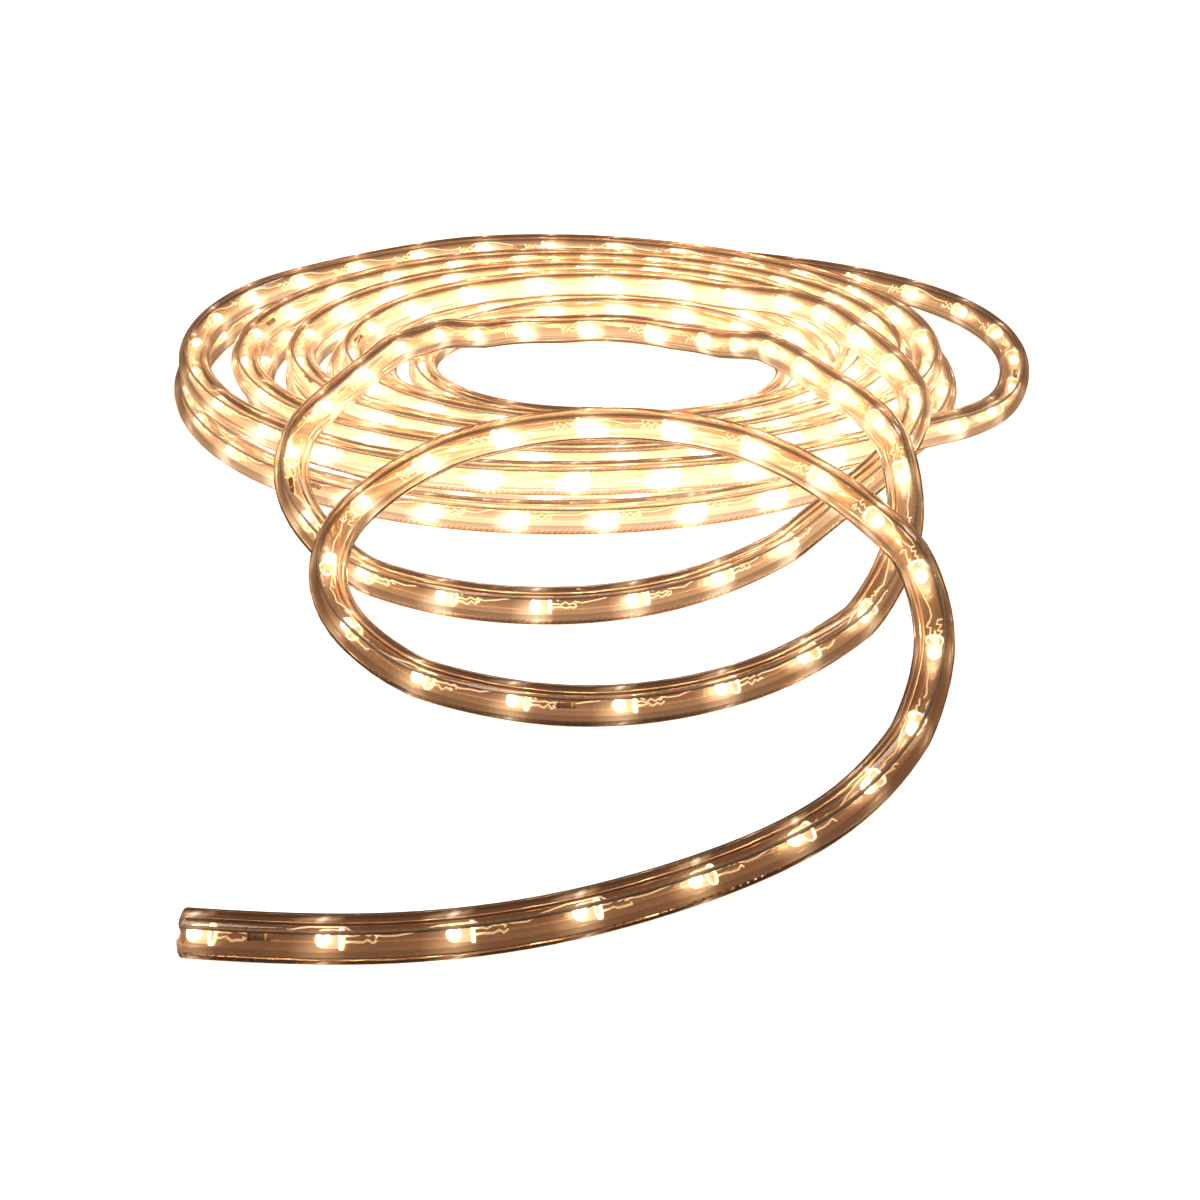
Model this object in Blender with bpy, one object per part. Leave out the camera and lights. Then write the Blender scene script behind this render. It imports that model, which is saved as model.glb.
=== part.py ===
"""LED rope light: thirty feet of clear round PVC rope with a string of LEDs sealed in its
channel. It lies in a loose two-layer coil, with its free end pulled out in front."""

import math

import bmesh
import bpy
import numpy as np

# The rope, in metres
ROPE_LENGTH = 9.144
ROPE_DIAMETER = 0.013
CLEARANCE = 0.0003
FREE_LENGTH = 0.9  # the pulled-out end and its first loop, the rest is the coil

# The LED string in the channel
LED_PITCH = 1 / 30
LED_DIAMETER = 0.005
LED_FLANGE_DIAMETER = 0.0058
LED_FLANGE_THICKNESS = 0.001
LED_BODY_LENGTH = 0.0038
LED_DOME_LENGTH = 0.0025
LEAD_DIAMETER = 0.0008
FIRST_LED = 0.001  # the first dome's tip, from the cut end
RESISTOR_DIAMETER = 0.0024
RESISTOR_LENGTH = 0.0063
RESISTOR_PLACE = 0.0155  # its start, from the dome's tip before it
RESISTOR_LEDS = 21  # LEDs in a row from one resistor to the next
LED_LENGTH = LED_DOME_LENGTH + LED_BODY_LENGTH + LED_FLANGE_THICKNESS
CHANNEL_CLEARANCE = 0.0004  # around the LEDs' flanges
CHANNEL_DIAMETER = LED_FLANGE_DIAMETER + 2 * CHANNEL_CLEARANCE

# The two stranded wires in the middle of the wall, one on each side of the channel
BUS_WIRE_DIAMETER = 0.0012
BUS_WIRE_OFFSET = (ROPE_DIAMETER + CHANNEL_DIAMETER) / 4  # from the rope's axis
BUS_WIRE_SIDES = {"outer": math.radians(57), "inner": math.radians(237)}  # from level, outwards

# How the rope lies
SAMPLE = 0.005  # step of the worked-out centre line
COIL_STEP = 0.02  # step of the coil's solid
SEAM = FREE_LENGTH + SAMPLE / 2  # where the free stretch meets the coil, from the cut end
SEAM_STRAIGHT = 0.002  # both solids run straight this far at the seam, so that their faces meet
LAYING_GAP = 0.0008  # air between turns that lie side by side or cross
BEND = 0.05  # bends are eased over this length, because the rope is stiff
HUMP = 0.07  # and so are the humps over other turns
COIL_END_ANGLE = math.radians(8)
COIL_BLEND = 0.2  # turns over which one row below passes into the next
STEPS_PER_TURN = 60
LAYING_PASSES = 14  # enough for the rope's heights to settle over all its crossings

# The coil seen from above: turns laid so far, then the left, right, front and back side of
# the turn that is laid there. The first layer goes outwards and the second one inwards.
COIL_SIDES = (
    (0.0, -0.076, 0.074, 0.065, 0.190),
    (4.7, -0.159, 0.147, -0.009, 0.256),
    (5.03, -0.171, 0.158, -0.020, 0.268),
    (5.26, -0.184, 0.168, -0.030, 0.282),
    (5.43, -0.182, 0.172, -0.022, 0.289),
    (5.58, -0.182, 0.182, -0.018, 0.274),
    (5.71, -0.181, 0.209, -0.012, 0.276),
    (5.83, -0.181, 0.182, -0.010, 0.280),
    (5.98, -0.181, 0.182, -0.016, 0.272),
    (6.28, -0.180, 0.157, -0.016, 0.267),
    (6.43, -0.178, 0.153, -0.012, 0.270),
    (6.58, -0.173, 0.149, -0.008, 0.248),
    (9.81, -0.098, 0.098, 0.039, 0.196),
)

# The loose stretch seen from above, from the coil over two loops to the cut end
FREE_ROUTE = (
    (0.124, 0.024), (0.119, 0.000), (0.104, -0.018), (0.082, -0.030), (0.062, -0.051),
    (0.035, -0.074), (0.008, -0.086), (-0.023, -0.089), (-0.051, -0.084), (-0.071, -0.075),
    (-0.088, -0.063), (-0.102, -0.051), (-0.112, -0.039), (-0.117, -0.022), (-0.115, -0.005),
    (-0.106, 0.020), (-0.094, 0.056), (-0.072, 0.110), (-0.042, 0.161), (0.000, 0.177),
    (0.039, 0.163), (0.066, 0.110), (0.085, 0.050), (0.100, 0.015), (0.107, -0.022),
    (0.110, -0.048), (0.107, -0.068), (0.099, -0.084), (0.088, -0.097), (0.065, -0.124),
    (0.041, -0.140), (0.007, -0.151), (-0.021, -0.150), (-0.049, -0.139), (-0.068, -0.129),
    (-0.084, -0.114), (-0.093, -0.098), (-0.094, -0.079), (-0.089, -0.057), (-0.075, -0.035),
    (-0.055, -0.018), (-0.030, -0.004), (0.000, 0.003), (0.030, -0.001), (0.055, -0.014),
    (0.077, -0.037), (0.094, -0.066), (0.104, -0.092), (0.109, -0.115), (0.107, -0.133),
    (0.101, -0.153), (0.092, -0.170), (0.077, -0.195), (0.053, -0.219), (0.026, -0.235),
    (-0.005, -0.249), (-0.037, -0.257), (-0.071, -0.259), (-0.107, -0.256),
)

for old in list(bpy.data.objects):
    bpy.data.objects.remove(old)

rope_light = bpy.data.collections.new("led_rope_light")
cutters = bpy.data.collections.new("cutters")
for collection in (rope_light, cutters):
    bpy.context.scene.collection.children.link(collection)


def running_mean(rows, reach):
    """Each row's mean with its neighbours up to reach away, with both ends kept in place."""
    before = 2 * rows[:1] - rows[reach:0:-1]
    after = 2 * rows[-1:] - rows[-2 : -reach - 2 : -1]
    total = np.cumsum(np.concatenate([0 * rows[:1], before, rows, after]), axis=0)
    return (total[2 * reach + 1 :] - total[: -2 * reach - 1]) / (2 * reach + 1)


def arc_lengths(points):
    return np.concatenate([[0], np.cumsum(np.linalg.norm(np.diff(points, axis=0), axis=1))])


def at_lengths(points, lengths):
    """The places on a line of points at these lengths along it."""
    along = arc_lengths(points)
    return np.column_stack([np.interp(lengths, along, column) for column in points.T])


def evenly(points, step):
    length = arc_lengths(points)[-1]
    return at_lengths(points, np.linspace(0, length, round(length / step) + 1))


def coil_turns():
    """The coil seen from above, wound clockwise."""
    sides = np.array(COIL_SIDES)
    turns = np.arange(0, sides[-1, 0], 1 / STEPS_PER_TURN)
    rows = np.column_stack([np.interp(turns, sides[:, 0], side) for side in sides[:, 1:].T])
    left, right, front, back = running_mean(rows, round(COIL_BLEND * STEPS_PER_TURN / 2)).T
    angle = COIL_END_ANGLE + 2 * math.pi * (sides[-1, 0] - turns)
    across = (left + right) / 2 + (right - left) / 2 * np.cos(angle)
    deep = (front + back) / 2 + (back - front) / 2 * np.sin(angle)
    return np.column_stack([across, deep])


def smooth_curve(points, parts=8):
    """A cubic curve through the points, with parts steps between each two."""
    gaps = np.diff(arc_lengths(points))[:, None]
    slopes = np.diff(points, axis=0) / gaps
    inner = (slopes[:-1] * gaps[1:] + slopes[1:] * gaps[:-1]) / (gaps[1:] + gaps[:-1])
    slopes = np.concatenate([slopes[:1], inner, slopes[-1:]])
    curve = []
    for start, end, out, into, gap in zip(points, points[1:], slopes, slopes[1:], gaps):
        for u in np.arange(parts) / parts:
            curve.append(
                (2 * u**3 - 3 * u**2 + 1) * start
                + (u**3 - 2 * u**2 + u) * gap * out
                + (3 * u**2 - 2 * u**3) * end
                + (u**3 - u**2) * gap * into
            )
    return np.array(curve + [points[-1]])


def laid_heights(route):
    """The axis height along the route: the rope lies on the floor or on what it crosses."""
    spacing = ROPE_DIAMETER + LAYING_GAP
    apart = np.linalg.norm(route[:, None] - route[None], axis=2)
    order = np.arange(len(route))
    laid_before = order[None] < order[:, None] - round(10 * ROPE_DIAMETER / SAMPLE)
    crossed = laid_before & (apart < spacing)
    rise = np.where(crossed, np.sqrt(np.maximum(spacing**2 - apart**2, 0)), -1)
    reach = round(HUMP / SAMPLE / 2)
    heights = np.full(len(route), ROPE_DIAMETER / 2)
    for _laying in range(LAYING_PASSES):
        needed = np.maximum(ROPE_DIAMETER / 2, (rise + heights[None]).max(axis=1))
        padded = np.pad(needed, reach, mode="edge")
        highest = np.max([padded[i : i + len(route)] for i in range(2 * reach + 1)], axis=0)
        padded = np.pad(highest, reach, mode="edge")
        heights = np.mean([padded[i : i + len(route)] for i in range(2 * reach + 1)], axis=0)
    return heights


def centre_line():
    """The whole rope's axis, from the end inside the coil to the cut end in front."""
    route = smooth_curve(np.concatenate([coil_turns(), np.array(FREE_ROUTE)]))
    route = running_mean(evenly(route, SAMPLE), round(BEND / SAMPLE / 2))
    route = evenly(route, SAMPLE)
    line = np.column_stack([route, laid_heights(route)])
    length = arc_lengths(line)[-1]
    samples = round(ROPE_LENGTH / SAMPLE) + 1
    line = at_lengths(line, np.linspace(length - ROPE_LENGTH, length, samples))
    middle = (line.min(axis=0) + line.max(axis=0)) / 2
    return line - [middle[0], middle[1], 0]


def clear_material(name, colour, alpha, roughness, metallic=0.0):
    material = bpy.data.materials.new(name)
    material.use_nodes = True
    shader = material.node_tree.nodes["Principled BSDF"]
    shader.inputs["Base Color"].default_value = (*colour, 1)
    shader.inputs["Alpha"].default_value = alpha
    shader.inputs["Roughness"].default_value = roughness
    shader.inputs["Metallic"].default_value = metallic
    return material


def tube(name, resolution, *lines, collection=rope_light):
    """A closed tube along each line of points, as wide at each as its diameters say."""
    curve = bpy.data.curves.new(name, "CURVE")
    curve.dimensions = "3D"
    curve.bevel_depth = 0.5
    curve.bevel_resolution = resolution
    curve.use_fill_caps = True
    for points, diameters in lines:
        spline = curve.splines.new("POLY")
        spline.points.add(len(points) - 1)
        widths = np.broadcast_to(diameters, len(points))
        for spot, point, width in zip(spline.points, points, widths):
            spot.co = (*point, 1)
            spot.radius = width
    made = bpy.data.objects.new(name, curve)
    collection.objects.link(made)
    return made


def as_mesh(made):
    """The same object as a mesh with welded caps, so that it can cut or be cut."""
    bpy.context.view_layer.update()
    evaluated = made.evaluated_get(bpy.context.evaluated_depsgraph_get())
    mesh = bpy.data.meshes.new_from_object(evaluated)
    name, collection = made.name, made.users_collection[0]
    bpy.data.objects.remove(made)
    shape = bmesh.new()
    shape.from_mesh(mesh)
    bmesh.ops.remove_doubles(shape, verts=shape.verts, dist=0.00001)
    bmesh.ops.recalc_face_normals(shape, faces=shape.faces)
    shape.to_mesh(mesh)
    shape.free()
    mesh.name = name
    solid = bpy.data.objects.new(name, mesh)
    collection.objects.link(solid)
    return solid


def beside(points, offset, angle):
    """The line that runs beside the points, turned by angle from the loops' outer side."""
    along = np.gradient(points, axis=0)
    along /= np.linalg.norm(along, axis=1)[:, None]
    outward = np.cross(along, [0.0, 0.0, 1.0])
    outward /= np.linalg.norm(outward, axis=1)[:, None]
    upward = np.cross(outward, along)
    return points + offset * (math.cos(angle) * outward + math.sin(angle) * upward)


def sleeve_lengths():
    """Where the free stretch's tubes have their points, from the cut end. None is in an LED."""
    first = FIRST_LED + LED_LENGTH + 0.0005
    joints = np.arange(first, SEAM - SEAM_STRAIGHT * 2, LED_PITCH * 2 / 3)
    return np.concatenate([[0], joints, [SEAM - SEAM_STRAIGHT, SEAM]])


def rope_sleeve(axis):
    """The clear PVC rope of the free stretch, bored for the LED string and the wires."""
    sleeve = as_mesh(tube("rope_sleeve", 4, (axis, ROPE_DIAMETER)))
    beyond = np.concatenate([[2 * axis[0] - axis[1]], axis, [2 * axis[-1] - axis[-2]]])
    lines = [(beyond, CHANNEL_DIAMETER)]
    for angle in BUS_WIRE_SIDES.values():
        line = beside(beyond, BUS_WIRE_OFFSET, angle)
        lines.append((line, BUS_WIRE_DIAMETER + 2 * CLEARANCE))
    bores = as_mesh(tube("bores", 2, *lines, collection=cutters))
    bores.hide_render = True
    bores.display_type = "WIRE"
    cut = sleeve.modifiers.new("bores", "BOOLEAN")
    cut.solver = "EXACT"
    cut.object = bores
    sleeve.data.materials.append(clear_material("amber_clear_pvc", (0.78, 0.56, 0.36), 0.45, 0.08))


def bus_wires(axis):
    """The two wires in the wall, cut flush with it."""
    copper = clear_material("tinned_copper_wire", (0.80, 0.62, 0.45), 1.0, 0.3, metallic=1.0)
    for side, angle in BUS_WIRE_SIDES.items():
        line = beside(axis, BUS_WIRE_OFFSET, angle)
        wire = tube(f"{side}_bus_wire", 1, (line, BUS_WIRE_DIAMETER))
        wire.data.materials.append(copper)


def led_string(line, joints):
    """The LEDs in a row on their leads, domes towards the cut end, with resistors between."""
    edge = 0.0001
    profile = (
        (0, LEAD_DIAMETER),
        (LED_DOME_LENGTH * 0.25, LED_DIAMETER * 0.72),
        (LED_DOME_LENGTH, LED_DIAMETER),
        (LED_DOME_LENGTH + LED_BODY_LENGTH, LED_DIAMETER),
        (LED_DOME_LENGTH + LED_BODY_LENGTH + edge, LED_FLANGE_DIAMETER),
        (LED_LENGTH - edge, LED_FLANGE_DIAMETER),
        (LED_LENGTH, LEAD_DIAMETER),
    )
    rings = [(length, LEAD_DIAMETER) for length in joints[1:]]
    for led in range(int((SEAM - FIRST_LED - LED_LENGTH) / LED_PITCH) + 1):
        tip = FIRST_LED + led * LED_PITCH
        rings += [(tip + behind, diameter) for behind, diameter in profile]
        if led % RESISTOR_LEDS == 0 and tip + LED_PITCH < SEAM:
            start, end = tip + RESISTOR_PLACE, tip + RESISTOR_PLACE + RESISTOR_LENGTH
            rings += [(start, LEAD_DIAMETER), (start + edge, RESISTOR_DIAMETER)]
            rings += [(end - edge, RESISTOR_DIAMETER), (end, LEAD_DIAMETER)]
    lengths, diameters = zip(*sorted(rings))
    string = tube("led_string", 2, (at_lengths(line, lengths), diameters))
    string.data.materials.append(clear_material("warm_white_led", (1.0, 0.86, 0.62), 1.0, 0.15))


def rope_coil(line):
    """The rest of the rope in its coil. Its own channel and string are left out."""
    coil = tube("rope_coil", 2, (line, ROPE_DIAMETER))
    coil.data.materials.append(bpy.data.materials["amber_clear_pvc"])


rope = centre_line()[::-1]
joints = sleeve_lengths()
free_axis = at_lengths(rope, joints)
rope_sleeve(free_axis)
bus_wires(free_axis)
led_string(free_axis, arc_lengths(free_axis)[:-1])
coil_start = SEAM + CLEARANCE
coil_steps = np.arange(SEAM + COIL_STEP, ROPE_LENGTH - COIL_STEP / 2, COIL_STEP)
coil_lengths = np.concatenate([[coil_start, coil_start + SEAM_STRAIGHT], coil_steps, [ROPE_LENGTH]])
rope_coil(at_lengths(rope, coil_lengths))
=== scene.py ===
import math

import bpy
import numpy as np
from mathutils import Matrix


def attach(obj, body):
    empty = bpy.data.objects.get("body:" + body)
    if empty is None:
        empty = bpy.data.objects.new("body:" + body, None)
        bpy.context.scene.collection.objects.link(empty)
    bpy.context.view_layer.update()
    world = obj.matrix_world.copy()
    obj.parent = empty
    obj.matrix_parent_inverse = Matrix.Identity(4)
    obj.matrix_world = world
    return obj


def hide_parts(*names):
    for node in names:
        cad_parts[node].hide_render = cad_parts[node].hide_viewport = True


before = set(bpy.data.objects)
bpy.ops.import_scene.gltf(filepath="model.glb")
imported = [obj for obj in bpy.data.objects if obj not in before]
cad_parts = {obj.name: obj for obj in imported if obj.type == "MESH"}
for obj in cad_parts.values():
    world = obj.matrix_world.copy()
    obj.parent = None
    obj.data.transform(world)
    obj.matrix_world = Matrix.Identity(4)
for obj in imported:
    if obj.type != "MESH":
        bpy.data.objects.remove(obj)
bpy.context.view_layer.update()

# How the rope lies. Thirty feet of it are wound clockwise into a loose coil of two layers, and
# the last two loops are drawn out in front, down to the cut end. Every piece follows this line.
ROPE_LENGTH = 9.144
ROPE_DIAMETER = 0.013
SAMPLE = 0.005
LAYING_GAP = 0.0008
BEND = 0.05
HUMP = 0.07
SAME_TURN = 0.13
COIL_END_ANGLE = math.radians(8)
COIL_BLEND = 0.2
STEPS_PER_TURN = 60
LAYING_PASSES = 14

# Turns laid so far, then the left, right, front and back side of the turn that is laid there
COIL_SIDES = (
    (0.0, -0.076, 0.074, 0.065, 0.190),
    (4.7, -0.159, 0.147, -0.009, 0.256),
    (5.03, -0.171, 0.158, -0.020, 0.268),
    (5.26, -0.184, 0.168, -0.030, 0.282),
    (5.43, -0.182, 0.172, -0.022, 0.289),
    (5.58, -0.182, 0.182, -0.018, 0.274),
    (5.71, -0.181, 0.209, -0.012, 0.276),
    (5.83, -0.181, 0.182, -0.010, 0.280),
    (5.98, -0.181, 0.182, -0.016, 0.272),
    (6.28, -0.180, 0.157, -0.016, 0.267),
    (6.43, -0.178, 0.153, -0.012, 0.270),
    (6.58, -0.173, 0.149, -0.008, 0.248),
    (9.81, -0.098, 0.098, 0.039, 0.196),
)

# The drawn-out loops seen from above, from the coil to the cut end
FREE_ROUTE = (
    (0.124, 0.024), (0.119, 0.000), (0.104, -0.018), (0.082, -0.030), (0.062, -0.051),
    (0.035, -0.074), (0.008, -0.086), (-0.023, -0.089), (-0.051, -0.084), (-0.071, -0.075),
    (-0.088, -0.063), (-0.102, -0.051), (-0.112, -0.039), (-0.117, -0.022), (-0.115, -0.005),
    (-0.106, 0.020), (-0.094, 0.056), (-0.072, 0.110), (-0.042, 0.161), (0.000, 0.177),
    (0.039, 0.163), (0.066, 0.110), (0.085, 0.050), (0.100, 0.015), (0.107, -0.022),
    (0.110, -0.048), (0.107, -0.068), (0.099, -0.084), (0.088, -0.097), (0.065, -0.124),
    (0.041, -0.140), (0.007, -0.151), (-0.021, -0.150), (-0.049, -0.139), (-0.068, -0.129),
    (-0.084, -0.114), (-0.093, -0.098), (-0.094, -0.079), (-0.089, -0.057), (-0.075, -0.035),
    (-0.055, -0.018), (-0.030, -0.004), (0.000, 0.003), (0.030, -0.001), (0.055, -0.014),
    (0.077, -0.037), (0.094, -0.066), (0.104, -0.092), (0.109, -0.115), (0.107, -0.133),
    (0.101, -0.153), (0.092, -0.170), (0.077, -0.195), (0.053, -0.219), (0.026, -0.235),
    (-0.005, -0.249), (-0.037, -0.257), (-0.071, -0.259), (-0.107, -0.256),
)


def running_mean(rows, reach):
    """Each row becomes the mean of the rows within reach of it, and the ends stay in place."""
    before = 2 * rows[:1] - rows[reach:0:-1]
    after = 2 * rows[-1:] - rows[-2 : -reach - 2 : -1]
    total = np.cumsum(np.concatenate([0 * rows[:1], before, rows, after]), axis=0)
    return (total[2 * reach + 1 :] - total[: -2 * reach - 1]) / (2 * reach + 1)


def arc_lengths(points):
    """How far along the line of points each of them is."""
    return np.concatenate([[0], np.cumsum(np.linalg.norm(np.diff(points, axis=0), axis=1))])


def at_lengths(points, lengths):
    """The places at these lengths along the line of points."""
    along = arc_lengths(points)
    return np.column_stack([np.interp(lengths, along, column) for column in points.T])


def evenly(points, step):
    """The same line with points at even steps."""
    length = arc_lengths(points)[-1]
    return at_lengths(points, np.linspace(0, length, round(length / step) + 1))


def coil_turns():
    """The coil seen from above, from its inner end to where the loops are drawn out."""
    sides = np.array(COIL_SIDES)
    turns = np.arange(0, sides[-1, 0], 1 / STEPS_PER_TURN)
    rows = np.column_stack([np.interp(turns, sides[:, 0], side) for side in sides[:, 1:].T])
    left, right, front, back = running_mean(rows, round(COIL_BLEND * STEPS_PER_TURN / 2)).T
    angle = COIL_END_ANGLE + 2 * math.pi * (sides[-1, 0] - turns)
    across = (left + right) / 2 + (right - left) / 2 * np.cos(angle)
    deep = (front + back) / 2 + (back - front) / 2 * np.sin(angle)
    return np.column_stack([across, deep])


def smooth_curve(points, parts=8):
    """A smooth line through the points, in some parts from each to the next."""
    gaps = np.diff(arc_lengths(points))[:, None]
    slopes = np.diff(points, axis=0) / gaps
    inner = (slopes[:-1] * gaps[1:] + slopes[1:] * gaps[:-1]) / (gaps[1:] + gaps[:-1])
    slopes = np.concatenate([slopes[:1], inner, slopes[-1:]])
    curve = []
    for start, end, out, into, gap in zip(points, points[1:], slopes, slopes[1:], gaps):
        for u in np.arange(parts) / parts:
            curve.append(
                (2 * u**3 - 3 * u**2 + 1) * start
                + (u**3 - 2 * u**2 + u) * gap * out
                + (3 * u**2 - 2 * u**3) * end
                + (u**3 - u**2) * gap * into
            )
    return np.array(curve + [points[-1]])


def laid_heights(route):
    """The rope lies on the floor, or on the turns of it that it crosses."""
    spacing = ROPE_DIAMETER + LAYING_GAP
    apart = np.linalg.norm(route[:, None] - route[None], axis=2)
    order = np.arange(len(route))
    laid_before = order[None] < order[:, None] - round(SAME_TURN / SAMPLE)
    crossed = laid_before & (apart < spacing)
    rise = np.where(crossed, np.sqrt(np.maximum(spacing**2 - apart**2, 0)), -1)
    reach = round(HUMP / SAMPLE / 2)
    heights = np.full(len(route), ROPE_DIAMETER / 2)
    for _laying in range(LAYING_PASSES):
        needed = np.maximum(ROPE_DIAMETER / 2, (rise + heights[None]).max(axis=1))
        padded = np.pad(needed, reach, mode="edge")
        highest = np.max([padded[i : i + len(route)] for i in range(2 * reach + 1)], axis=0)
        padded = np.pad(highest, reach, mode="edge")
        heights = np.mean([padded[i : i + len(route)] for i in range(2 * reach + 1)], axis=0)
    return heights


route = smooth_curve(np.concatenate([coil_turns(), np.array(FREE_ROUTE)]))
route = running_mean(evenly(route, SAMPLE), round(BEND / SAMPLE / 2))
route = evenly(route, SAMPLE)
laid = np.column_stack([route, laid_heights(route)])
laid_length = arc_lengths(laid)[-1]
samples = round(ROPE_LENGTH / SAMPLE) + 1
laid = at_lengths(laid, np.linspace(laid_length - ROPE_LENGTH, laid_length, samples))
middle = (laid.min(axis=0) + laid.max(axis=0)) / 2
rope_line = (laid - [middle[0], middle[1], 0])[::-1]


# The camera stands low in front of the coil and looks down on it, as in the photograph. Its depth
# of field stays off, so the rope is sharp from end to end.
CAMERA_BACK = 0.600
CAMERA_HEIGHT = 0.30303
CAMERA_DOWN = math.radians(29.89)
CAMERA_LENS = 51.954
camera_data = bpy.data.cameras.new("camera")
camera_data.sensor_width = 36
camera_data.lens = CAMERA_LENS
camera_data.clip_start = 0.01
camera = bpy.data.objects.new("camera", camera_data)
camera.location = (-middle[0], -CAMERA_BACK - middle[1], CAMERA_HEIGHT)
camera.rotation_euler = (math.pi / 2 - CAMERA_DOWN, 0, 0)
bpy.context.scene.collection.objects.link(camera)
bpy.context.scene.camera = camera


# The rope body, one extrusion of clear amber-tinted PVC with a channel down its middle. Both
# ends are cut off square, so the channel is open there. The LEDs inside make it glow.
CHANNEL_DIAMETER = 0.0066
ROPE_SIDES = 24
LED_PITCH = 1 / 30
FIRST_LED = 0.001
LED_COUNT = 274
CHIP_PLACE = 0.0022
RING_PLACES = (-0.0022, 0.0, 0.0022, 0.006, 0.012, 0.018, 0.0245)
RING_FROM_END = 0.0002

# Each LED lights a halo around its chip and throws a beam ahead, and the LEDs of all the turns
# nearby add up. The drawn-out loops lie apart from the coil and get less of that.
HALO_RADIUS = 0.005
HALO = 0.2
HALO_IN_CROWD = 0.15
BEAM_REACH = 0.016
BEAM = 0.19
BEAM_SIDEWAYS = 0.45
CROWD_REACH = 0.05
CROWD_PLACES = (1.5, 1.9)
CROWD_SHARES = (0.045, 0.068)
LIGHT_BATCHES = 20

# How much of that light the channel's wall and the outside show, and the glints above each chip
# and low on the rope's outer edge
CHANNEL_GLOW = 0.9
CHANNEL_GLOW_DOWNWARDS = 0.75
OUTSIDE_GLOW = 0.04
TOP_GLINT = 3.6
EDGE_GLINT = 2.6
GLINT_LENGTH = 0.002

# From where the PVC is seen face on to where it is seen edge on, through the most of it: the amber
# tint, with painted shade on top of it that darkens the edges
PVC_TINT_AND_EDGE_SHADE = (
    (0.10, (0.82, 0.65, 0.49, 1)),
    (0.50, (0.62, 0.45, 0.30, 1)),
    (0.85, (0.16, 0.06, 0.025, 1)),
)
# From the faintest glow to the strongest
GLOW_COLOURS = (
    (0.0, (1.0, 0.50, 0.24, 1)),
    (0.30, (1.0, 0.70, 0.42, 1)),
    (1.0, (1.0, 0.92, 0.78, 1)),
)
GLOW_COLOUR_STEP = 0.25
GLOW_STRENGTH = 0.30
PVC_SHADOW = (0.98, 0.97, 0.955, 1)


def frames(lengths):
    """The places on the rope's axis, and its directions along, outwards and up there."""
    places = at_lengths(rope_line, lengths)
    ahead = at_lengths(rope_line, np.asarray(lengths) + SAMPLE)
    behind = at_lengths(rope_line, np.asarray(lengths) - SAMPLE)
    along = ahead - behind
    along /= np.linalg.norm(along, axis=1)[:, None]
    outward = np.cross(along, [0.0, 0.0, 1.0])
    outward /= np.linalg.norm(outward, axis=1)[:, None]
    return places, along, outward, np.cross(outward, along)


def rings(places, outward, upward, radii, angles):
    """One ring of points around each place, as an array of places, points of a ring and x y z."""
    radii = np.broadcast_to(radii, (len(places), angles.shape[-1]))[..., None]
    turn = np.broadcast_to(angles, (len(places), angles.shape[-1]))[..., None]
    spokes = np.cos(turn) * outward[:, None] + np.sin(turn) * upward[:, None]
    return places[:, None] + radii * spokes


def skin(first, count, sides, closed_ends=True, inwards=False):
    """The faces of a tube whose rings of points start at number first."""
    ring, side = np.meshgrid(np.arange(count - 1), np.arange(sides), indexing="ij")
    here, beside = first + ring * sides + side, first + ring * sides + (side + 1) % sides
    faces = np.stack([here, here + sides, beside + sides, beside], axis=-1).reshape(-1, 4)
    faces = (faces[:, ::-1] if inwards else faces).tolist()
    if closed_ends:
        faces.append([first + k for k in range(sides)])
        faces.append([first + (count - 1) * sides + k for k in reversed(range(sides))])
    return faces


def mesh_piece(name, points, faces, material, attributes=()):
    """A smooth piece of the part, with a value on each point for every one of its attributes."""
    mesh = bpy.data.meshes.new(name)
    mesh.from_pydata(np.asarray(points).reshape(-1, 3).tolist(), [], faces)
    mesh.polygons.foreach_set("use_smooth", [True] * len(mesh.polygons))
    for label, values in dict(attributes).items():
        layer = mesh.attributes.new(label, "FLOAT", "POINT")
        layer.data.foreach_set("value", np.asarray(values, dtype=np.float32).ravel())
    mesh.materials.append(material)
    mesh.update()
    piece = bpy.data.objects.new(name, mesh)
    bpy.context.scene.collection.objects.link(piece)
    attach(piece, "root")
    return piece


def lit_by_leds(points, from_cut_end):
    """How strongly the LEDs light each point. They shine forwards, towards the cut end."""
    chips, along, _outward, _upward = frames(chip_lengths)
    points = points.reshape(-1, 3)
    shares = np.interp(from_cut_end, CROWD_PLACES, CROWD_SHARES)
    shares = shares.repeat(len(points) // len(from_cut_end))
    light = []
    batches = zip(np.array_split(points, LIGHT_BATCHES), np.array_split(shares, LIGHT_BATCHES))
    for some, share in batches:
        reach = some[:, None] - chips[None]
        distance = np.linalg.norm(reach, axis=2)
        ahead = -(reach * along[None]).sum(axis=2) / np.maximum(distance, 1e-6)
        beam = BEAM_SIDEWAYS + (1 - BEAM_SIDEWAYS) * np.clip(ahead, 0, 1) ** 2
        halo = np.exp(-((distance / HALO_RADIUS) ** 4)).sum(axis=1)
        thrown = (beam / (1 + (distance / BEAM_REACH) ** 2) ** 1.5).sum(axis=1)
        crowd = (1 / (1 + (distance / CROWD_REACH) ** 2) ** 1.5).sum(axis=1)
        light.append(halo * (HALO_IN_CROWD * crowd + HALO) + BEAM * thrown + share * crowd)
    return np.concatenate(light)


def new_material(name, looks):
    """A material whose shader has its own sockets set to these looks, and its nodes and links."""
    material = bpy.data.materials.new(name)
    material.use_nodes = True
    material.cycles.emission_sampling = "NONE"
    nodes, links = material.node_tree.nodes, material.node_tree.links
    for socket, value in looks.items():
        nodes["Principled BSDF"].inputs[socket].default_value = value
    return material, nodes, links, nodes["Principled BSDF"]


def on_each_point(nodes, label):
    """The value that the mesh holds on each of its points."""
    attribute = nodes.new("ShaderNodeAttribute")
    attribute.attribute_name = label
    return attribute.outputs["Fac"]


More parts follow.
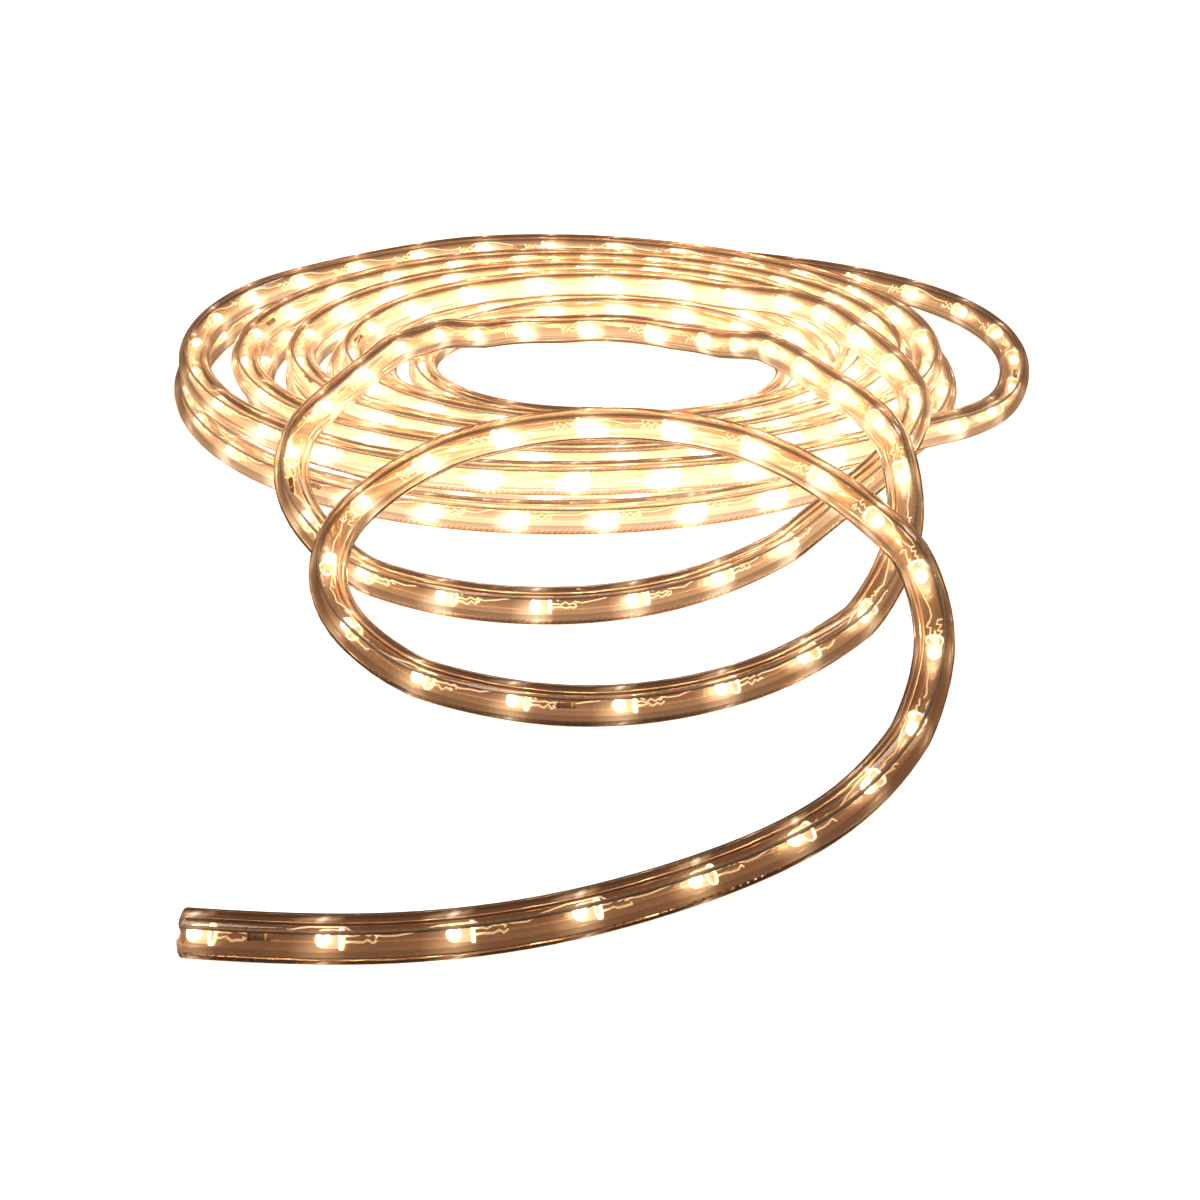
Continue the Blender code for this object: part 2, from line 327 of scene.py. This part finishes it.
def multiplied(nodes, links, value, factor):
    """A value times a factor."""
    times = nodes.new("ShaderNodeMath")
    times.operation = "MULTIPLY"
    times.inputs[1].default_value = factor
    links.new(value, times.inputs[0])
    return times.outputs["Value"]


def colours_by(nodes, links, value, stops, interpolation="LINEAR"):
    """A colour for each value, from stops that run from low to high."""
    ramp = nodes.new("ShaderNodeValToRGB")
    ramp.color_ramp.interpolation = interpolation
    low, high = ramp.color_ramp.elements
    low.position, low.color = stops[0]
    high.position, high.color = stops[-1]
    for place, colour in stops[1:-1]:
        ramp.color_ramp.elements.new(place).color = colour
    links.new(value, ramp.inputs["Fac"])
    return ramp.outputs["Color"]


def by_ray(nodes, links, kind_of_ray, for_others, for_it):
    """One shader for one kind of ray, and another for all others."""
    rays = nodes.new("ShaderNodeLightPath")
    either = nodes.new("ShaderNodeMixShader")
    links.new(rays.outputs[kind_of_ray], either.inputs["Fac"])
    links.new(for_others, either.inputs[1])
    links.new(for_it, either.inputs[2])
    return either.outputs["Shader"]


chip_lengths = FIRST_LED + CHIP_PLACE + np.arange(LED_COUNT) * LED_PITCH
lengths = (chip_lengths[:, None] + np.array(RING_PLACES)).ravel()
lengths = lengths[(lengths > RING_FROM_END) & (lengths < ROPE_LENGTH - RING_FROM_END)]
lengths = np.concatenate([[0], lengths, [ROPE_LENGTH]])
places, _along, outward, upward = frames(lengths)
around = np.arange(ROPE_SIDES) * 2 * math.pi / ROPE_SIDES
outside = rings(places, outward, upward, ROPE_DIAMETER / 2, around)
channel = rings(places, outward, upward, CHANNEL_DIAMETER / 2, around)
wall_count = len(lengths) * ROPE_SIDES
faces = skin(0, len(lengths), ROPE_SIDES, closed_ends=False)
faces += skin(wall_count, len(lengths), ROPE_SIDES, closed_ends=False, inwards=True)
last = wall_count - ROPE_SIDES
for side in range(ROPE_SIDES):
    beside = (side + 1) % ROPE_SIDES
    faces.append([side, beside, wall_count + beside, wall_count + side])
    faces.append([last + beside, last + side, wall_count + last + side, wall_count + last + beside])

from_chip = np.abs(lengths[:, None] - chip_lengths[None]).min(axis=1)
glint = np.exp(-((from_chip / GLINT_LENGTH) ** 2))
glints = np.zeros((len(lengths), ROPE_SIDES))
glints[:, ROPE_SIDES // 4] = TOP_GLINT * glint
glints[:, -2] = EDGE_GLINT * glint
outside_light = OUTSIDE_GLOW * lit_by_leds(outside, lengths) + glints.ravel()
low_in_channel = np.tile(CHANNEL_GLOW - CHANNEL_GLOW_DOWNWARDS * np.sin(around), len(lengths))
channel_light = low_in_channel * lit_by_leds(channel, lengths)

pvc, nodes, links, clear = new_material(
    "amber_clear_pvc", {"Transmission Weight": 1.0, "Roughness": 0.05, "IOR": 1.48}
)
# The base colour darkens towards the rope's edges as seen: partly the tint through more PVC, partly
# painted shade for the dark outlines
edge_on = nodes.new("ShaderNodeLayerWeight").outputs["Facing"]
links.new(colours_by(nodes, links, edge_on, PVC_TINT_AND_EDGE_SHADE), clear.inputs["Base Color"])
led_light = on_each_point(nodes, "led_light")
for_colour = multiplied(nodes, links, led_light, GLOW_COLOUR_STEP)
links.new(colours_by(nodes, links, for_colour, GLOW_COLOURS), clear.inputs["Emission Color"])
glow = multiplied(nodes, links, led_light, GLOW_STRENGTH)
links.new(glow, clear.inputs["Emission Strength"])
lets_lamps_through = nodes.new("ShaderNodeBsdfTransparent")
lets_lamps_through.inputs["Color"].default_value = PVC_SHADOW
links.new(
    by_ray(
        nodes,
        links,
        "Is Shadow Ray",
        for_others=clear.outputs["BSDF"],
        for_it=lets_lamps_through.outputs["BSDF"],
    ),
    nodes["Material Output"].inputs["Surface"],
)

rope = mesh_piece(
    "rope_body",
    np.concatenate([outside, channel]),
    faces,
    pvc,
    {"led_light": np.concatenate([outside_light, channel_light])},
)
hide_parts("rope_sleeve", "rope_coil")


# The two bus wires, stranded copper, moulded into the wall on opposite sides of the channel.
# They carry the supply along the whole rope.
BUS_WIRE_DIAMETER = 0.0012
BUS_WIRE_OFFSET = 0.0049
BUS_WIRE_SIDES = {"outer": math.radians(57), "inner": math.radians(237)}
BUS_WIRE_START = 0.0003
BUS_WIRE_STEP = 0.0026
STRANDS = 6
STRAND_LAY = 0.013
GROOVE = 0.74
COPPER_GLOW = 1.0
COPPER_BRIGHTEST = 1.5
METAL_GLOW_COLOUR = (1.0, 0.80, 0.56, 1)


def lit_metal(name, colour, roughness, brightness):
    """Bare metal that also glows a little where the LEDs shine on it."""
    looks = {"Base Color": colour, "Metallic": 1.0, "Roughness": roughness}
    material, nodes, links, metal = new_material(name, looks)
    glow = multiplied(nodes, links, on_each_point(nodes, "led_light"), brightness)
    links.new(glow, metal.inputs["Emission Strength"])
    metal.inputs["Emission Color"].default_value = METAL_GLOW_COLOUR
    return material


copper = lit_metal("bus_wire_copper", (0.55, 0.33, 0.20, 1), 0.30, COPPER_GLOW)
wire_lengths = np.arange(BUS_WIRE_START, ROPE_LENGTH, BUS_WIRE_STEP)
places, _along, outward, upward = frames(wire_lengths)
lobes = np.arange(2 * STRANDS)
radii = np.where(lobes % 2, GROOVE, 1.0) * BUS_WIRE_DIAMETER / 2
turned = lobes * math.pi / STRANDS + (wire_lengths * 2 * math.pi / STRAND_LAY)[:, None]
upper_crests = (lobes % 2 == 0) * np.sin(turned).clip(min=0)
for name, angle in BUS_WIRE_SIDES.items():
    centre = places + BUS_WIRE_OFFSET * (math.cos(angle) * outward + math.sin(angle) * upward)
    points = rings(centre, outward, upward, radii, turned)
    light = lit_by_leds(points, wire_lengths).reshape(upper_crests.shape)
    light = light.clip(max=COPPER_BRIGHTEST) * upper_crests
    faces = skin(0, len(centre), len(lobes))
    wire = mesh_piece(f"{name}_stranded_wire", points, faces, copper, {"led_light": light})
    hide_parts(f"{name}_bus_wire")


# The LEDs, clear round ones of cast epoxy in a row in the channel, with their domes towards the
# cut end. The dome gathers the chip's light forwards, and the flange at its foot catches some.
LED_PROFILE = (
    (0.00, 0.35), (0.18, 1.05), (0.60, 1.72), (1.25, 2.22), (2.50, 2.50), (3.30, 2.50),
    (4.20, 2.50), (6.25, 2.50), (6.30, 2.90), (7.20, 2.90), (7.30, 2.75), (7.30, 0.30),
)
DOME_LIGHT = (1.0, 1.0, 0.6, 0.15, 0.06, 0.04, 0.03, 0.03, 0.35, 0.10, 0.03, 0.02)
DOME_BRIGHTNESS = 30.0
LED_SIDES = 12
LED_LENGTH = 0.0073

lens, nodes, links, epoxy = new_material(
    "led_epoxy",
    {
        "Base Color": (1.0, 0.90, 0.72, 1),
        "Roughness": 0.12,
        "Alpha": 0.4,
        "Emission Color": (1.0, 0.84, 0.60, 1),
    },
)
dome = multiplied(nodes, links, on_each_point(nodes, "dome_light"), DOME_BRIGHTNESS)
links.new(dome, epoxy.inputs["Emission Strength"])

tips = FIRST_LED + np.arange(LED_COUNT) * LED_PITCH
tip_places = at_lengths(rope_line, tips)
led_along = at_lengths(rope_line, tips + LED_LENGTH) - tip_places
led_along /= np.linalg.norm(led_along, axis=1)[:, None]
led_outward = np.cross(led_along, [0.0, 0.0, 1.0])
led_outward /= np.linalg.norm(led_outward, axis=1)[:, None]
led_upward = np.cross(led_outward, led_along)
led_angles = np.arange(LED_SIDES) * 2 * math.pi / LED_SIDES


def turned_in_each_led(profile):
    """A round shape in every LED, from its places along the LED and its radii there."""
    points, faces = [], []
    for led in range(LED_COUNT):
        centre = tip_places[led] + profile[:, :1] * led_along[led]
        across = np.repeat(led_outward[led][None], len(profile), axis=0)
        over = np.repeat(led_upward[led][None], len(profile), axis=0)
        faces += skin(led * len(profile) * LED_SIDES, len(profile), LED_SIDES)
        points.append(rings(centre, across, over, profile[:, 1:], led_angles))
    return np.concatenate(points), faces


points, faces = turned_in_each_led(np.array(LED_PROFILE) / 1000)
dome_light = np.tile(np.repeat(DOME_LIGHT, LED_SIDES), LED_COUNT)
leds = mesh_piece("leds", points, faces, lens, {"dome_light": dome_light})
leds.visible_diffuse = False
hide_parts("led_string")


# The lit chips. Each sits in a small cup on its LED's lead frame, cast into the epoxy, and shows
# as a round spot of warm white light.
CHIP_GLOW_RADIUS = 0.0016
CHIP_BRIGHTNESS = 45.0
CHIP_RINGS = 6
CHIP_ARC = 0.45 * math.pi

glowing, _nodes, _links, _shader = new_material(
    "lit_chip",
    {
        "Base Color": (1.0, 0.85, 0.55, 1),
        "Emission Color": (1.0, 0.86, 0.64, 1),
        "Emission Strength": CHIP_BRIGHTNESS,
    },
)
arc = np.linspace(-CHIP_ARC, CHIP_ARC, CHIP_RINGS)
ball = CHIP_GLOW_RADIUS * np.column_stack([np.sin(arc), np.cos(arc)]) + [CHIP_PLACE, 0]
points, faces = turned_in_each_led(ball)
chips = mesh_piece("lit_chips", points, faces, glowing)
chips.visible_diffuse = False
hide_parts("led_string")


# The leads and jumper wires, of tinned wire. Each LED's two legs are bent into hooks behind its
# flange, and a jumper runs from one hook past the next LED to its legs.
WIRE_SIDES = 5
LEG_DIAMETER = 0.0006
JUMPER_DIAMETER = 0.00045
LEADS_GLOW = 3.0
LEADS_BRIGHTEST = 0.6
WIDEST = 0.0027
BENDS_SEED = 7
KINKS = (0.6, 1.3)
DRIFT = 0.0008
JUMPER_TURNS = (0.3, 0.9)
# Millimetres behind the LED's tip, sideways and up, at each bend
LEG_ALONG = (7.3, 9.2, 10.6, 12.0, 13.4, 14.6, 15.6, 15.2)
LEG_SIDEWAYS = (1.2, 1.25, 1.9, 1.3, 1.9, 1.2, 1.4, 2.2)
LEG_UP = (0, 0.1, 0.8, -0.6, 0.7, -0.5, 0.4, 1.3)
# Millimetres behind the LED's tip and off the channel's middle
JUMPER_ALONG = (15.0, 17.5, 21, 25, 29, 32, 35, 38, 41, 43)
JUMPER_OUT = (1.3, 0.9, 0.8, 1.6, 2.6, 3.0, 3.02, 3.02, 3.0, 1.6)

tinned = lit_metal("tinned_leads", (0.80, 0.66, 0.50, 1), 0.25, LEADS_GLOW)
chance = np.random.default_rng(BENDS_SEED)
wire_angles = np.arange(WIRE_SIDES) * 2 * math.pi / WIRE_SIDES
lead_points, lead_faces = [], []


def bent_wire(from_cut_end, sideways, above, diameter):
    """Adds a wire in the channel, through places given along the rope, outwards and up."""
    places, _along, outward, upward = frames(from_cut_end)
    centre = places + sideways[:, None] * outward + above[:, None] * upward
    run = np.gradient(centre, axis=0)
    run /= np.linalg.norm(run, axis=1)[:, None]
    flat = np.cross(run, [0.0, 0.0, 1.0]) + 1e-9
    flat /= np.linalg.norm(flat, axis=1)[:, None]
    first = sum(len(points) for points in lead_points)
    lead_faces.extend(skin(first, len(centre), WIRE_SIDES))
    wire = rings(centre, flat, np.cross(flat, run), diameter / 2, wire_angles)
    lead_points.append(wire.reshape(-1, 3))


for led, tip in enumerate(tips):
    for leg in (-1, 1):
        kink = chance.uniform(*KINKS, 6)
        sideways = leg * np.array(LEG_SIDEWAYS) / 1000
        sideways[2:] *= kink
        above = np.array(LEG_UP) / 1000 * leg * kink.mean()
        along = tip + np.array(LEG_ALONG) / 1000
        bent_wire(along, sideways.clip(-WIDEST, WIDEST), above, LEG_DIAMETER)
    if led + 1 < LED_COUNT:
        drift = chance.uniform(-DRIFT, DRIFT, 3)
        turn = chance.uniform(*JUMPER_TURNS) * math.pi
        out = np.array(JUMPER_OUT) / 1000
        sideways = out * math.cos(turn)
        sideways[1:4] += drift
        along = tip + np.array(JUMPER_ALONG) / 1000
        bent_wire(along, sideways, out * math.sin(turn), JUMPER_DIAMETER)
points = np.concatenate(lead_points)
# All of them take the drawn-out loops' share of the crowd's light, which is cut off low anyway
light = lit_by_leds(points, np.zeros(1)).clip(max=LEADS_BRIGHTEST)
leads = mesh_piece("led_leads", points, lead_faces, tinned, {"led_light": light})
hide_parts("led_string")


# The resistors, one for each group of LEDs, are small dark lacquered ones with coloured bands.
# Each is soldered in line with the wires behind an LED.
RESISTOR_LEDS = 21
RESISTOR_PLACE = 0.0155
RESISTOR_PROFILE = (
    (0.0, 0.3), (0.15, 0.9), (0.5, 1.2), (1.3, 1.2), (1.7, 1.0), (2.3, 1.0), (2.9, 1.0),
    (3.5, 1.0), (4.1, 1.0), (4.6, 1.0), (5.0, 1.2), (5.8, 1.2), (6.15, 0.9), (6.3, 0.3),
)
LACQUER = (0.12, 0.06, 0.03, 1)
DARK_BAND = (0.02, 0.01, 0.01, 1)
GOLD_BAND = (0.75, 0.42, 0.08, 1)
BANDS = (
    (0.0, LACQUER), (0.12, DARK_BAND), (0.2, LACQUER), (0.38, DARK_BAND), (0.46, LACQUER),
    (0.78, GOLD_BAND), (0.88, LACQUER),
)

lacquer, nodes, links, body = new_material("resistor_lacquer", {"Roughness": 0.3})
band_place = on_each_point(nodes, "band_place")
bands = colours_by(nodes, links, band_place, BANDS, interpolation="CONSTANT")
links.new(bands, body.inputs["Base Color"])
points, faces, places_on_body = [], [], []
profile = np.array(RESISTOR_PROFILE) / 1000
for number, tip in enumerate(tips[::RESISTOR_LEDS]):
    places, _along, outward, upward = frames(tip + RESISTOR_PLACE + profile[:, 0])
    faces += skin(number * len(profile) * LED_SIDES, len(profile), LED_SIDES)
    points.append(rings(places, outward, upward, profile[:, 1:], led_angles))
    places_on_body.append(np.repeat(profile[:, 0] / profile[-1, 0], LED_SIDES))
resistors = mesh_piece(
    "resistors",
    np.concatenate(points),
    faces,
    lacquer,
    {"band_place": np.concatenate(places_on_body)},
)
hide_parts("led_string")


# The studio: a plain pale floor and surround and soft lamps above, as for a product photograph.
# Rays that come through or off the rope meet a dark brown floor and surround instead, so the
# clear PVC stands out with dark edges against the white, as in the photograph.
FLOOR_REACH = 6
FLOOR_WHITE = (0.9, 0.9, 0.9, 1)
FLOOR_THROUGH_ROPE = (0.07, 0.032, 0.014, 1)
SURROUND_THROUGH_ROPE = (0.035, 0.018, 0.01, 1)
BACKDROP_STRENGTH = 1.1
OVERHEAD_STRENGTH = 4.8
LAMP_COLOUR = (1.0, 0.86, 0.72)
LAMP_SIZE = 0.3
LAMP_WATTS = 2
BLOOM = {"Threshold": 1.5, "Strength": 0.4, "Size": 0.3}

sides = ((-1, -1), (1, -1), (1, 1), (-1, 1))
corners = [(FLOOR_REACH * x, FLOOR_REACH * y, 0) for x, y in sides]
floor_mesh = bpy.data.meshes.new("floor")
floor_mesh.from_pydata(corners, [], [(0, 1, 2, 3)])
floor = bpy.data.objects.new("floor", floor_mesh)
bpy.context.scene.collection.objects.link(floor)
paper, nodes, links, white = new_material(
    "white_paper", {"Base Color": FLOOR_WHITE, "Roughness": 0.9}
)
under_rope = nodes.new("ShaderNodeBsdfDiffuse")
under_rope.inputs["Color"].default_value = FLOOR_THROUGH_ROPE
links.new(
    by_ray(
        nodes,
        links,
        "Is Camera Ray",
        for_others=under_rope.outputs["BSDF"],
        for_it=white.outputs["BSDF"],
    ),
    nodes["Material Output"].inputs["Surface"],
)
floor_mesh.materials.append(paper)

world = bpy.data.worlds.new("studio")
bpy.context.scene.world = world
world.use_nodes = True
nodes, links = world.node_tree.nodes, world.node_tree.links
surround = nodes["Background"]
surround.inputs["Color"].default_value = SURROUND_THROUGH_ROPE
backdrop = nodes.new("ShaderNodeBackground")
backdrop.inputs["Color"].default_value = (1, 1, 1, 1)
backdrop.inputs["Strength"].default_value = BACKDROP_STRENGTH
links.new(
    by_ray(
        nodes,
        links,
        "Is Camera Ray",
        for_others=surround.outputs["Background"],
        for_it=backdrop.outputs["Background"],
    ),
    nodes["World Output"].inputs["Surface"],
)

overhead_data = bpy.data.lights.new("overhead", "SUN")
overhead_data.energy = OVERHEAD_STRENGTH
overhead_data.angle = math.radians(90)
overhead = bpy.data.objects.new("overhead", overhead_data)
overhead.visible_glossy = False
overhead.visible_transmission = False
bpy.context.scene.collection.objects.link(overhead)

for name, place in {"key": (-0.5, -0.3, 1.1), "back": (0.5, 1.0, 0.9)}.items():
    lamp_data = bpy.data.lights.new(name, "AREA")
    lamp_data.size = LAMP_SIZE
    lamp_data.energy = LAMP_WATTS
    lamp_data.color = LAMP_COLOUR
    lamp = bpy.data.objects.new(name, lamp_data)
    lamp.location = place
    lamp.rotation_euler = (-lamp.location).to_track_quat("-Z", "Y").to_euler()
    bpy.context.scene.collection.objects.link(lamp)

scene = bpy.context.scene
scene.view_settings.view_transform = "Standard"
scene.cycles.max_bounces = 24
scene.cycles.transmission_bounces = 24
scene.cycles.transparent_max_bounces = 16
scene.cycles.diffuse_bounces = 3
scene.use_nodes = True
tree = scene.node_tree
shine = tree.nodes.new("CompositorNodeGlare")
shine.glare_type = "BLOOM"
shine.quality = "HIGH"
for label, value in BLOOM.items():
    shine.inputs[label].default_value = value
tree.links.new(tree.nodes["Render Layers"].outputs["Image"], shine.inputs["Image"])
tree.links.new(shine.outputs["Image"], tree.nodes["Composite"].inputs["Image"])
